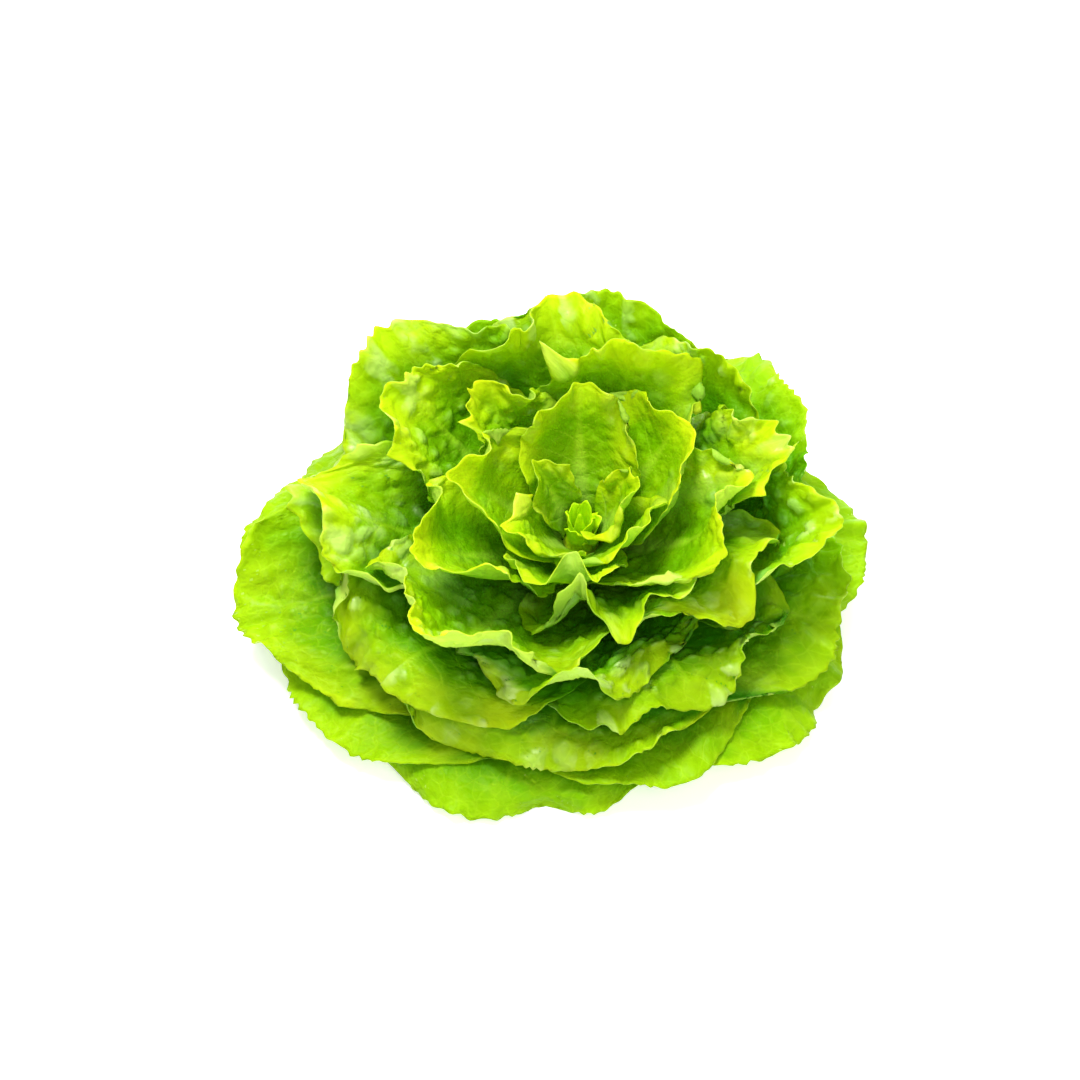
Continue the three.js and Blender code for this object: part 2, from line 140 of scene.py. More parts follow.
def rows_from(row, third, upper):
    rows = [row]
    while True:
        previous = rows[-1]
        following = []
        for a, b in zip(previous, previous[1:]):
            edge = (b, a) if upper else (a, b)
            if edge not in third:
                return rows if not following else None
            c = third[edge]
            d = third.get((c, a) if upper else (a, c))
            if d is None:
                return None
            if not following:
                following.append(d)
            following.append(c)
        rows.append(following)


def blade_grid(node):
    """The middle of a leaf's solid blade: rows by columns of points, with +normal on its upper face."""
    points, triangles = welded(node.data)
    blades = []
    for t in triangles:
        lengths = [np.linalg.norm(points[t[i]] - points[t[(i + 1) % 3]]) for i in range(3)]
        if min(abs(length - BLADE_THICKNESS) for length in lengths) > SAME_LENGTH:
            blades.append(tuple(int(v) for v in t))
    grids = []
    for side in faces_apart(blades):
        rows, facing = walked_grid(points, side)
        grids.append((points[np.array(rows)], facing))
    middle = points.mean(0)
    inward = np.array([-middle[0], -middle[1], 0]) / max(np.hypot(middle[0], middle[1]), 1e-6)
    grids.sort(key=lambda g: -(g[1] @ (inward + [0, 0, 1])))
    upper, lower = grids[0][0], grids[1][0]
    if np.linalg.norm(upper[0, 0] - lower[0, 0]) > 3 * BLADE_THICKNESS:
        lower = lower[:, ::-1]
    return (upper + lower) / 2


# Shaping


def smooth(x, low, high):
    t = np.clip((x - low) / (high - low), 0, 1)
    return t * t * (3 - 2 * t)


def hashed(i, j, salt):
    """An even draw from 0 to 1 for each pair of whole numbers."""
    n = (i.astype(np.int64) * 73856093) ^ (j.astype(np.int64) * 19349663) ^ (salt * 83492791)
    n = (n ^ (n >> 13)) * 1274126177 & 0x7FFFFFFF
    n = (n ^ (n >> 15)) * 2246822519 & 0x7FFFFFFF
    return (n % 100003) / 100003.0


def cells(x, y, salt):
    """Distances to the nearest and the second nearest of points strewn one to each unit square."""
    i, j = np.floor(x), np.floor(y)
    first = np.full(x.shape, 9.0)
    second = np.full(x.shape, 9.0)
    for di in (-1, 0, 1):
        for dj in (-1, 0, 1):
            ci, cj = i + di, j + dj
            px = ci + 0.15 + 0.7 * hashed(ci, cj, salt)
            py = cj + 0.15 + 0.7 * hashed(ci, cj, salt + 7)
            distance = np.hypot(x - px, y - py)
            second = np.minimum(second, np.maximum(first, distance))
            first = np.minimum(first, distance)
    return first, second


def value_noise(x, y, salt):
    """Smooth noise from -1 to 1 with features of about one unit."""
    i, j = np.floor(x), np.floor(y)
    u, v = smooth(x - i, 0, 1), smooth(y - j, 0, 1)
    low = hashed(i, j, salt) * (1 - u) + hashed(i + 1, j, salt) * u
    high = hashed(i, j + 1, salt) * (1 - u) + hashed(i + 1, j + 1, salt) * u
    return 2 * (low * (1 - v) + high * v) - 1


def blade_place(x, y):
    """Across from -1 to 1, along from 0 to 1, and how near the rim, for a grid place x, y."""
    low = np.minimum(y / WIDEST_AT, 1)
    high = np.clip((y - WIDEST_AT) / (1 - WIDEST_AT), 0, 1)
    foot = FOOT_SHARE + (1 - FOOT_SHARE) * smooth(low, 0, 1)
    across = np.where(y < WIDEST_AT, x * foot, x * np.sqrt(1 - high**2 / 2))
    along = np.where(y < WIDEST_AT, y, WIDEST_AT + (1 - WIDEST_AT) * high * np.sqrt(1 - x**2 / 2))
    rim = np.where(y < WIDEST_AT, np.abs(x) * smooth(low, 0.2, 1), (x**6 + high**6) ** (1 / 6))
    return across, along, np.clip(rim, 0, 1)


def spline(grid, u, v):
    """The smooth surface through a grid of values, at fractional rows u and columns v."""
    pad = np.concatenate([2 * grid[:1] - grid[1:2], grid, 2 * grid[-1:] - grid[-2:-1]])
    pad = np.concatenate([2 * pad[:, :1] - pad[:, 1:2], pad, 2 * pad[:, -1:] - pad[:, -2:-1]], axis=1)
    i = np.clip(np.floor(u), 0, grid.shape[0] - 2).astype(int)
    j = np.clip(np.floor(v), 0, grid.shape[1] - 2).astype(int)

    def weights(t):
        t2, t3 = t * t, t * t * t
        return [
            (-t3 + 2 * t2 - t) / 2,
            (3 * t3 - 5 * t2 + 2) / 2,
            (-3 * t3 + 4 * t2 + t) / 2,
            (t3 - t2) / 2,
        ]

    wu, wv = weights(u - i), weights(v - j)
    total = 0
    for a in range(4):
        for b in range(4):
            total = total + (wu[a] * wv[b])[..., None] * pad[i + a, j + b]
    return total


def facets(grid, u, v):
    """The faceted surface of a grid, each cell split from its lowest corner to its highest."""
    i = np.clip(np.floor(u), 0, grid.shape[0] - 2).astype(int)
    j = np.clip(np.floor(v), 0, grid.shape[1] - 2).astype(int)
    s, t = (u - i)[..., None], (v - j)[..., None]
    a, b, c, d = grid[i, j], grid[i, j + 1], grid[i + 1, j + 1], grid[i + 1, j]
    return np.where(t >= s, a + t * (b - a) + s * (c - b), a + s * (d - a) + t * (c - d))


def grid_normals(points):
    along = np.gradient(points, axis=0)
    across = np.gradient(points, axis=1)
    normal = np.cross(along, across)
    return normal / np.maximum(np.linalg.norm(normal, axis=-1, keepdims=True), 1e-12)


def tree_of_others(grids, number):
    """A tree of the middle surfaces of all blades but one."""
    points, triangles = [], []
    for other, grid in enumerate(grids):
        if other != number:
            a, d, c, b = (quads_of(*grid.shape[:2]) + len(points)).T
            triangles += np.stack([a, b, c], -1).tolist() + np.stack([a, c, d], -1).tolist()
            points += grid.reshape(-1, 3).tolist()
    return BVHTree.FromPolygons(points, triangles)


def rooms(coarse, tree):
    """How far each point can go along and against its normal before it is near another blade."""
    normals = grid_normals(coarse)
    found = np.full(coarse.shape[:2] + (2,), LOOK_AHEAD)
    for r in range(coarse.shape[0]):
        for c in range(coarse.shape[1]):
            point, normal = Vector(coarse[r, c]), Vector(normals[r, c])
            up, down = tree.ray_cast(point, normal, LOOK_AHEAD), tree.ray_cast(point, -normal, LOOK_AHEAD)
            near = tree.find_nearest(point, LOOK_AHEAD)
            limits = [up[3] or LOOK_AHEAD, down[3] or LOOK_AHEAD]
            if near[0] is not None:
                lean = (near[0] - point).dot(normal)
                if lean > -0.4 * near[3]:
                    limits[0] = min(limits[0], near[3])
                if lean < 0.4 * near[3]:
                    limits[1] = min(limits[1], near[3])
            found[r, c] = limits
    padded = np.pad(found, ((1, 1), (1, 1), (0, 0)), mode="edge")
    for dr in range(3):
        for dc in range(3):
            near = padded[dr : dr + found.shape[0], dc : dc + found.shape[1]]
            found = np.minimum(found, near)
    return np.maximum(found - HELD_APART, 0)


GOLDEN_ANGLE = 2.399963
RAY_START = 0.3 * MM  # how far off a blade's face its rays start


def cosine_rays(count):
    """Directions round +Z, closer together near it."""
    turns = np.arange(count) * GOLDEN_ANGLE
    sine = np.sqrt((np.arange(count) + 0.5) / count)
    return np.stack([sine * np.cos(turns), sine * np.sin(turns), np.sqrt(1 - sine**2)], -1)


RAYS = cosine_rays(28)


def openness(grid, tree):
    """What share of the view is free of other blades, from the upper and from the lower face."""
    normals = grid_normals(grid)
    found = np.zeros(grid.shape[:2] + (2,))
    for r in range(grid.shape[0]):
        for c in range(grid.shape[1]):
            for k, way in enumerate((normals[r, c], -normals[r, c])):
                side = np.cross(way, (0.31, 0.77, 0.55))
                side /= np.linalg.norm(side)
                axes = np.array([side, np.cross(way, side), way])
                start = Vector(grid[r, c] + way * (BLADE_THICKNESS / 2 + RAY_START))
                free = sum(tree.ray_cast(start, Vector(ray), OPEN_REACH)[0] is None for ray in RAYS @ axes)
                found[r, c, k] = free / len(RAYS)
    return found


def smooth_blade(grid, age, number, others):
    """A leaf's smooth middle surface with lobes and teeth round its rim, and where each point lies in it."""
    steps_r, steps_c = grid.shape[0] - 1, grid.shape[1] - 1
    fine_rows = np.linspace(0, steps_r, steps_r * FINE + 1)
    fine_columns = np.linspace(0, steps_c, steps_c * FINE + 1)
    u, v = np.meshgrid(fine_rows, fine_columns, indexing="ij")
    across, along, rim = blade_place(2 * v / steps_c - 1, u / steps_r)
    length = np.linalg.norm(np.diff(grid[:, steps_c // 2], axis=0), axis=1).sum() / MM
    width = max(np.linalg.norm(np.diff(row, axis=0), axis=1).sum() for row in grid) / MM / 2
    x, y = across * width, along * length
    solid = facets(grid, u, v)
    room = rooms(solid[:: FINE // 2, :: FINE // 2], others)
    room = np.clip(spline(room, 2 * u, 2 * v), 0, LOOK_AHEAD) / MM
    round_rim = np.arctan2(x, (along - 0.35) * length) * (width + length) / 3.1
    lobes = value_noise(round_rim / LOBE_LENGTH, 0 * x + number, 3)
    turns = round_rim / TOOTH_LENGTH + 0.9 * value_noise(round_rim / 12, 0 * x, number)
    tooth = smooth(np.abs(turns % 1 - 0.5) * 2, 0, 1)
    bite = smooth(rim, 0.8, 1) * smooth(along, 0.1, 0.4)
    uneven = 0.5 + 1.6 * np.abs(value_noise(round_rim / 13, 0 * x + number, 5))
    grow = bite * (LOBE_DEPTH * lobes + (TOOTH_DEPTH - 0.5 * age) * uneven * (tooth - 0.6)) / width
    grow = 1 + np.minimum(grow, LIFT_SHARE * room.min(-1) / width)
    centre_u, centre_v = 0.5 * steps_r, 0.5 * steps_c
    warped_u = np.where(u > centre_u, centre_u + (u - centre_u) * grow, u)
    surface = spline(grid, warped_u, centre_v + (v - centre_v) * grow)
    return {
        "surface": surface,
        "ungrown": spline(grid, u, v),
        "solid": solid,
        "room": room,
        "x": x,
        "y": y,
        "along": along,
        "rim": rim,
        "round_rim": round_rim,
        "u": u,
        "v": v,
    }


def quads_of(rows, columns):
    """The four corners of each cell of a grid, anticlockwise as seen from its upper face."""
    index = np.arange(rows * columns).reshape(rows, columns)
    a, b, c, d = index[:-1, :-1], index[:-1, 1:], index[1:, 1:], index[1:, :-1]
    return np.stack([a, d, c, b], -1).reshape(-1, 4)


def shell_faces(rows, columns):
    """The faces of a closed blade whose upper points come first and then its lower ones."""
    index = np.arange(rows * columns).reshape(rows, columns)
    count = rows * columns
    top = quads_of(rows, columns)
    bottom = top[:, ::-1] + count
    edge = np.concatenate([index[0, :-1], index[:-1, -1], index[-1, :0:-1], index[:0:-1, 0]])
    following = np.roll(edge, -1)
    wall = np.stack([edge, following, following + count, edge + count], -1)
    return np.concatenate([top, bottom, wall])


def flat_part(vectors, normal):
    """The part of each vector that lies in the surface."""
    return vectors - normal * (vectors * normal).sum(-1, keepdims=True)


def held_between(values, low, high):
    """Values bent to stay between two limits either side of nought."""
    over = high * np.tanh(values / np.maximum(high, 1e-3))
    return np.where(values > 0, over, low * np.tanh(values / np.minimum(low, -1e-3)))


def leaf_mesh(name, grid, age, number, others, tree):
    """One fine closed blade, with its blisters, veins and frills."""
    blade = smooth_blade(grid, age, number, others)
    x, y, along, rim, round_rim = (blade[key] for key in ("x", "y", "along", "rim", "round_rim"))
    u, v, surface, solid, room = (blade[key] for key in ("u", "v", "surface", "solid", "room"))
    normal = grid_normals(surface)

    # blisters between the veins, weaker at the foot and along the midrib
    side = np.where(x < 0, 0.5, 0)
    wander = 2.2 * value_noise(x / 14, y / 14, number + 11)
    vein_way = (y - 0.62 * np.abs(x) - 0.0035 * x * x + wander) / (VEIN_SPACING - 4 * age) + side
    from_vein = np.abs(vein_way % 1 - 0.5)
    between = 1 - smooth(from_vein, 0.36, 0.5)
    size = BLISTER_SIZE * (1.3 - 0.4 * age)
    warp_x = x + 2.5 * value_noise(x / 9, y / 9, number + 21)
    warp_y = y + 2.5 * value_noise(x / 9 + 40, y / 9, number + 22)
    first, second = cells(warp_x / size, warp_y / size, number + 31)
    small_first, small_second = cells(warp_x / size * 2.3, warp_y / size * 2.3, number + 33)
    swell = smooth(second - first, 0.0, 0.75) - 0.4
    small_swell = smooth(small_second - small_first, -0.1, 0.95) - 0.4
    rib = np.exp(-((x / (1.5 + 5.5 * (1 - along) ** 1.5)) ** 2))
    open_blade = smooth(along, 0.12, 0.4) * (1 - 0.85 * rib)
    patches = 0.65 + 0.5 * value_noise(x / 30, y / 30, number + 41)
    crinkled = (0.9 + 0.75 * smooth(age, 0.1, 0.35)) * (1 - 0.5 * smooth(age, 0.62, 0.9))
    height = BLISTER_HEIGHT * crinkled * open_blade * patches
    lift = height * (swell * between + 0.34 * small_swell - 0.4 * (1 - between))

    # frills that grow towards the rim
    uneven = 0.5 * value_noise(round_rim / 22, 0 * x, number + 51)
    frill_way = 2 * math.pi * (round_rim / (FRILL_LENGTH * (1 - 0.2 * age)) + uneven)
    strength = 0.55 + 0.6 * value_noise(round_rim / 35, 0 * x, number + 52)
    frill = np.sin(frill_way) + 0.35 * np.sin(2.3 * frill_way + number)
    lift += FRILL_HEIGHT * smooth(rim, 0.5, 1) ** 2 * smooth(along, 0.15, 0.45) * strength * frill
    lift += WAVE_HEIGHT * value_noise(x / 22, y / 22, number + 61) * open_blade
    low, high = -LIFT_SHARE * room[..., 1], LIFT_SHARE * room[..., 0]
    outward = ((surface - solid) * normal).sum(-1) / MM + lift
    held = held_between(outward, low, high) * MM
    drift = flat_part(blade["ungrown"] - solid, normal)
    most = LIFT_SHARE * room.min(-1) * MM
    drift *= np.minimum(1, most / np.maximum(np.linalg.norm(drift, axis=-1), 1e-9))[..., None]
    surface = solid + drift + flat_part(surface - blade["ungrown"], normal) + normal * held[..., None]
    surface[..., 2] = np.maximum(surface[..., 2], LOWEST_UPPER_FACE)
    normal = grid_normals(surface)

    # the midrib and the side ribs stand out of the back
    rib_height = MIDRIB_HEIGHT * (1 - along) ** 1.2 * np.exp(-((x / (1.2 + 4.6 * (1 - along) ** 1.6)) ** 2))
    side_rib = SIDE_RIB_HEIGHT * (1 - smooth(np.abs(from_vein - 0.5), 0, 0.09)) * (1 - along)
    side_rib = side_rib * smooth(along, 0.05, 0.3) * (1 - smooth(rim, 0.6, 0.95))
    thick = HALF_THICKNESS + (RIM_HALF_THICKNESS - HALF_THICKNESS) * smooth(rim, 0.7, 1)
    back = thick + np.minimum(rib_height + side_rib, RIB_SHARE * room[..., 1]) * MM
    upper = surface + normal * thick[..., None]
    lower = surface - normal * back[..., None]
    lower[..., 2] = np.maximum(lower[..., 2], LOWEST_LOWER_FACE)

    count = surface.shape[0] * surface.shape[1]
    faces = shell_faces(*surface.shape[:2])
    mesh = bpy.data.meshes.new(name)
    points = np.concatenate([upper.reshape(-1, 3), lower.reshape(-1, 3)])
    mesh.vertices.add(len(points))
    mesh.vertices.foreach_set("co", points.ravel())
    mesh.loops.add(faces.size)
    mesh.loops.foreach_set("vertex_index", faces.ravel().astype(np.int32))
    mesh.polygons.add(len(faces))
    mesh.polygons.foreach_set("loop_start", np.arange(0, faces.size, 4, dtype=np.int32))
    mesh.polygons.foreach_set("use_smooth", np.ones(len(faces), bool))
    mesh.update(calc_edges=True)
    places = np.stack([x / 10, y / 10, along], -1).reshape(-1, 3)
    marks = np.stack([rim, np.full_like(rim, age), lift / 2 + 0.5], -1).reshape(-1, 3)
    add_vectors(mesh, "place", np.concatenate([places, places]))
    add_vectors(mesh, "marks", np.concatenate([marks, marks]))
    # share of the view free of other blades from each face; the material paints shade where it is small
    light = np.clip(spline(openness(grid, tree), u, v), 0, 1).reshape(-1, 2)
    under = np.concatenate([np.zeros(count), np.ones(count)])
    free = np.concatenate([light[:, 0], light[:, 1]])
    tone = np.full_like(under, hashed(np.array([number]), np.array([5]), 3)[0])
    add_vectors(mesh, "sides", np.stack([under, free, tone], -1))
    veins = np.concatenate([from_vein.ravel(), from_vein.ravel()])
    mesh.attributes.new("from_vein", "FLOAT", "POINT").data.foreach_set("value", veins)
    return mesh


def add_vectors(mesh, name, values):
    mesh.attributes.new(name, "FLOAT_VECTOR", "POINT").data.foreach_set("vector", values.ravel())


# Materials


class Nodes:
    """A short way to write a material's nodes."""

    def __init__(self, name):
        self.material = bpy.data.materials.new(name)
        self.material.use_nodes = True
        self.tree = self.material.node_tree
        self.tree.nodes.clear()

    def add(self, kind, inputs=(), **settings):
        node = self.tree.nodes.new(kind)
        for key, value in settings.items():
            setattr(node, key, value)
        for key, value in dict(inputs).items():
            self.put(node.inputs[key], value)
        return node

    def put(self, socket, value):
        if isinstance(value, bpy.types.NodeSocket):
            self.tree.links.new(value, socket)
        elif socket.type == "RGBA" and len(value) == 3:
            socket.default_value = (*value, 1)
        else:
            socket.default_value = value

    def math(self, operation, *values, clamp=False):
        node = self.add("ShaderNodeMath", dict(enumerate(values)), operation=operation, use_clamp=clamp)
        return node.outputs[0]

    def ramp(self, value, low, high, out_low=0.0, out_high=1.0):
        inputs = {0: value, 1: low, 2: high, 3: out_low, 4: out_high}
        node = self.add("ShaderNodeMapRange", inputs, interpolation_type="SMOOTHSTEP")
        return node.outputs[0]

    def mix(self, share, a, b, blend="MIX"):
        node = self.add("ShaderNodeMix", data_type="RGBA", blend_type=blend, clamp_factor=True)
        for key, value in ((0, share), (6, a), (7, b)):
            self.put(node.inputs[key], value)
        return node.outputs[2]

    def attribute(self, name):
        return self.add("ShaderNodeAttribute", attribute_name=name)

    def colour_noise(self, place, scale):
        inputs = {"Vector": place, "Scale": scale, "Detail": 1.0}
        noise = self.add("ShaderNodeTexNoise", inputs).outputs["Color"]
        return self.scaled(noise, (0.35, 0.35, 0.35))

    def scaled(self, vector, by):
        return self.add("ShaderNodeVectorMath", {0: vector, 1: by}, operation="MULTIPLY").outputs[0]

    def noise(self, place, scale, detail=3.0, rough=0.55):
        inputs = {"Vector": place, "Scale": scale, "Detail": detail, "Roughness": rough}
        return self.add("ShaderNodeTexNoise", inputs).outputs["Fac"]


OUTER_GREEN = ((0.10, 0.34, 0.0), (0.21, 0.46, 0.0))
INNER_GREEN = ((0.40, 0.72, 0.0), (0.64, 0.86, 0.002))
# dark green painted as shade in the blister valleys and towards each leaf's middle
PAINTED_SHADE_GREEN = (0.07, 0.30, 0.0)
TONE_GREEN = (0.15, 0.44, 0.0)
BACK_GREEN = (0.58, 0.78, 0.15)
RIM_YELLOW = ((0.50, 0.70, 0.003), (0.90, 0.90, 0.01))
PALE_RIB = ((0.66, 0.86, 0.14), (0.64, 0.90, 0.03))
SHADE_TINT = (0.13, 0.5, 0.12)
THROUGH = (0.78, 0.98, 0.0)
# whitish colour painted as a sheen on blister tops
PAINTED_SHEEN_WHITE = (0.80, 0.94, 0.40)
CUT_STEM = ((0.52, 0.68, 0.14), (0.74, 0.82, 0.34))


def leaf_material():
    n = Nodes("lettuce_leaf")
    place = n.attribute("place").outputs["Vector"]
    x, _, along = n.add("ShaderNodeSeparateXYZ", {0: place}).outputs
    rim, age, height = n.add("ShaderNodeSeparateXYZ", {0: n.attribute("marks").outputs["Vector"]}).outputs
    under, free, tone = n.add("ShaderNodeSeparateXYZ", {0: n.attribute("sides").outputs["Vector"]}).outputs
    out_from_rib = n.math("ABSOLUTE", x)

    # the veins: a midrib, side veins that sweep up from it, and a net between them
    from_vein = n.attribute("from_vein").outputs["Fac"]
    vein_width = n.math("MULTIPLY_ADD", out_from_rib, -0.012, 0.075)
    off_vein = n.math("DIVIDE", n.math("SUBTRACT", 0.5, from_vein), vein_width)
    side_vein = n.math("SUBTRACT", 1.0, off_vein, clamp=True)
    side_vein = n.math("MULTIPLY", side_vein, n.ramp(rim, 0.45, 0.95, 1.0, 0.0))
    to_tip = n.math("SUBTRACT", 1.0, along, clamp=True)
    rib_width = n.math("MULTIPLY_ADD", n.math("POWER", to_tip, 1.5), 0.66, 0.06)
    rib = n.ramp(n.math("DIVIDE", out_from_rib, rib_width), 0.2, 1.5, 1.0, 0.0)
    rib = n.math("MULTIPLY", rib, n.ramp(along, 0.45, 0.98, 1.0, 0.0))
    flat = n.scaled(place, (1, 1, 0))
    bend = {0: flat, 1: n.colour_noise(flat, 1.3)}
    bent = n.add("ShaderNodeVectorMath", bend, operation="ADD").outputs[0]
    net = n.add("ShaderNodeTexVoronoi", {"Vector": bent, "Scale": 1.7}, feature="DISTANCE_TO_EDGE")
    net = n.ramp(net.outputs["Distance"], 0.0, 0.09, 1.0, 0.0)
    veins = n.math("MAXIMUM", rib, n.math("MULTIPLY", side_vein, n.ramp(age, 0.5, 0.9, 0.8, 0.95)))
    veins = n.math("MAXIMUM", veins, n.math("MULTIPLY", net, n.ramp(age, 0.3, 0.7, 0.17, 0.12)))

    # green, brighter with age towards the heart, yellower at the rim (partly painted light), paler on the
    # veins, with painted shade in the blister valleys, towards each leaf's middle and where other blades
    # close in, and a painted whitish sheen on blister tops
    cloud = n.ramp(n.noise(place, 0.38, 2.0), 0.3, 0.7)
    outer = n.mix(cloud, OUTER_GREEN[0], OUTER_GREEN[1])
    inner = n.mix(cloud, INNER_GREEN[0], INNER_GREEN[1])
    green = n.mix(n.ramp(age, 0.2, 0.92), outer, inner)
    # painted shade: darker green where the relief sinks, in the blister valleys
    green = n.mix(n.ramp(height, 0.0, 1.0, 0.22, 0.0), green, PAINTED_SHADE_GREEN)
    # painted shade: darker green away from the rim towards the leaf's middle, most on the outer leaves
    painted_shade_inward = n.math("MULTIPLY", n.ramp(rim, 0.3, 0.85, 0.5, 0.0), n.ramp(age, 0.2, 0.7, 1.0, 0.5))
    green = n.mix(painted_shade_inward, green, PAINTED_SHADE_GREEN)
    yellow = n.mix(age, RIM_YELLOW[0], RIM_YELLOW[1])
    edge = n.math("MULTIPLY", n.ramp(rim, 0.965, 0.998, 0.0, 0.2), n.ramp(n.noise(place, 1.1), 0.35, 0.65))
    # yellower and lighter towards the rim: partly the rim's own paler colour, partly painted light
    spread = n.math("ADD", rim, n.ramp(n.noise(place, 0.55, 3.0), 0.3, 0.7, -0.16, 0.16))
    wide_edge = n.math("MULTIPLY", n.ramp(spread, 0.4, 1.05), n.ramp(age, 0.4, 0.85, 0.46, 0.8))
    edge = n.math("ADD", wide_edge, edge, clamp=True)
    green = n.mix(edge, green, yellow)
    green = n.mix(n.ramp(tone, 0.0, 1.0, 0.0, 0.3), green, TONE_GREEN)
    pale = n.mix(n.ramp(along, 0.05, 0.7), PALE_RIB[0], PALE_RIB[1])
    colour = n.mix(n.math("MULTIPLY", veins, 0.75), green, pale)
    # painted highlight: a whitish sheen on the blister tops of the middle leaves, in patches
    painted_sheen = n.math("MULTIPLY", n.ramp(height, 0.35, 0.95), n.ramp(n.noise(place, 0.5), 0.42, 0.64))
    middle = n.math("MULTIPLY", n.ramp(age, 0.27, 0.44), n.ramp(age, 0.5, 0.8, 1.0, 0.2))
    colour = n.mix(n.math("MULTIPLY", n.math("MULTIPLY", painted_sheen, middle), 0.45), colour, PAINTED_SHEEN_WHITE)
    colour = n.mix(n.math("MULTIPLY", under, 0.6), colour, BACK_GREEN)
    # painted shade: darker, greener colour where other blades close off the view, weaker in the heart
    shaded = n.mix(1.0, colour, SHADE_TINT, "MULTIPLY")
    shade = n.math("MULTIPLY", n.ramp(free, 0.02, 0.78, 1.0, 0.0), n.ramp(age, 0.35, 1.0, 1.0, 0.35))
    colour = n.mix(shade, colour, shaded)

    # fine relief
    lift = n.math("MULTIPLY", n.math("MAXIMUM", side_vein, n.math("MULTIPLY", net, 0.3)), -0.45)
    lift = n.math("ADD", lift, n.math("MULTIPLY", n.noise(place, 3.6, 3.0), 1.0))
    lift = n.math("ADD", lift, n.math("MULTIPLY", n.noise(place, 1.5, 2.0), 2.9))
    bump = n.add("ShaderNodeBump", {"Height": lift, "Strength": 0.5, "Distance": 0.001})
    gloss = n.ramp(n.noise(place, 1.9, 3.0), 0.3, 0.7, 0.36, 0.56)
    # a clear coat where the sheen is painted
    coat = n.math("MULTIPLY", painted_sheen, n.ramp(age, 0.2, 0.42, 0.1, 1.0))
    skin = n.add(
        "ShaderNodeBsdfPrincipled",
        {
            "Base Color": colour,
            "Roughness": gloss,
            "Specular IOR Level": n.ramp(age, 0.1, 0.5, 0.18, 0.26),
            "Specular Tint": (0.75, 1.0, 0.3),
            "Coat Weight": coat,
            "Coat Roughness": 0.34,
            "Normal": bump.outputs[0],
        },
    )
    through = n.mix(0.5, colour, THROUGH)
    glow = n.add("ShaderNodeBsdfTranslucent", {"Color": through, "Normal": bump.outputs[0]})
    clear = n.ramp(age, 0.2, 0.9, 0.36, 0.52)
    both = n.add("ShaderNodeMixShader", {0: clear, 1: skin.outputs[0], 2: glow.outputs[0]})
    n.add("ShaderNodeOutputMaterial", {"Surface": both.outputs[0]})
    return n.material


def plain_material(name, colours, scale, roughness, relief):
    """A mottled skin, green above the cut foot."""
    n = Nodes(name)
    place = n.add("ShaderNodeTexCoord").outputs["Object"]
    mottle = n.ramp(n.noise(place, scale, 5.0), 0.3, 0.7)
    height = n.add("ShaderNodeSeparateXYZ", {0: place}).outputs[2]
    above = n.mix(mottle, colours[2], colours[3])
    colour = n.mix(n.ramp(height, 0.02, 0.045), n.mix(mottle, colours[0], colours[1]), above)
    grain = n.noise(place, 3 * scale, 4.0)
    bump = n.add("ShaderNodeBump", {"Height": grain, "Strength": 0.6, "Distance": relief})
    inputs = {"Base Color": colour, "Roughness": roughness, "Specular IOR Level": 0.25}
    inputs.update({"Subsurface Weight": 0.2, "Normal": bump.outputs[0]})
    skin = n.add("ShaderNodeBsdfPrincipled", inputs)
    skin.inputs["Subsurface Radius"].default_value = (0.004, 0.004, 0.001)
    n.add("ShaderNodeOutputMaterial", {"Surface": skin.outputs[0]})
    return n.material


# The pieces


def add_object(name, mesh, node, material):
    piece = bpy.data.objects.new(name, mesh)
    scene.collection.objects.link(piece)
    mesh.materials.clear()
    mesh.materials.append(material)
    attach(piece, "root")
    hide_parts(node)
    return piece


def solids_tree():
    points, polygons, start = [], [], 0
    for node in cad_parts.values():
        points += [v.co.copy() for v in node.data.vertices]
        polygons += [[start + i for i in p.vertices] for p in node.data.polygons]
        start = len(points)
    return BVHTree.FromPolygons(points, polygons)


leaf_nodes = sorted(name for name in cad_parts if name.startswith("leaf_"))
tree = solids_tree()
leaf_skin = leaf_material()
grids = [blade_grid(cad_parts[name]) for name in leaf_nodes]
for number, name in enumerate(leaf_nodes):
    # from 0 for the outermost leaf to 1 for the innermost
    age = number / (len(leaf_nodes) - 1)
    mesh = leaf_mesh("blade_" + name[5:], grids[number], age, number, tree_of_others(grids, number), tree)
    add_object("blade_" + name[5:], mesh, name, leaf_skin)


def finer_copy(name, levels):
    """A finer copy of a round solid."""
    points, triangles = welded(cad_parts[name].data)
    mesh = bpy.data.meshes.new(name + "_fine")
    mesh.from_pydata(points.tolist(), [], triangles.tolist())
    temporary = bpy.data.objects.new("temporary", mesh)
    scene.collection.objects.link(temporary)
    divide = temporary.modifiers.new("divide", "SUBSURF")
    divide.subdivision_type = "SIMPLE" if name == "stem" else "CATMULL_CLARK"
    divide.levels = levels
    bpy.context.view_layer.update()
    fine = bpy.data.meshes.new_from_object(temporary.evaluated_get(bpy.context.evaluated_depsgraph_get()))
    bpy.data.objects.remove(temporary)
    for polygon in fine.polygons:
        polygon.use_smooth = True
    return fine


BUD_SHARE = 0.72  # the inner bud's width as a share of its solid's, to leave room for the small leaves
BUD_LEAVES = 6
BUD_LEAF_GAP = 0.38 * MM
BUD_LEAF_THICKNESS = 0.36 * MM
BUD_LEAF_POINTS = 15  # along and across each face
BUD_LEAF_HALF_WIDTH = 4.4
BUD_LEAF_FOOT = 4.3 * MM  # how far off the bud's middle the innermost leaf starts


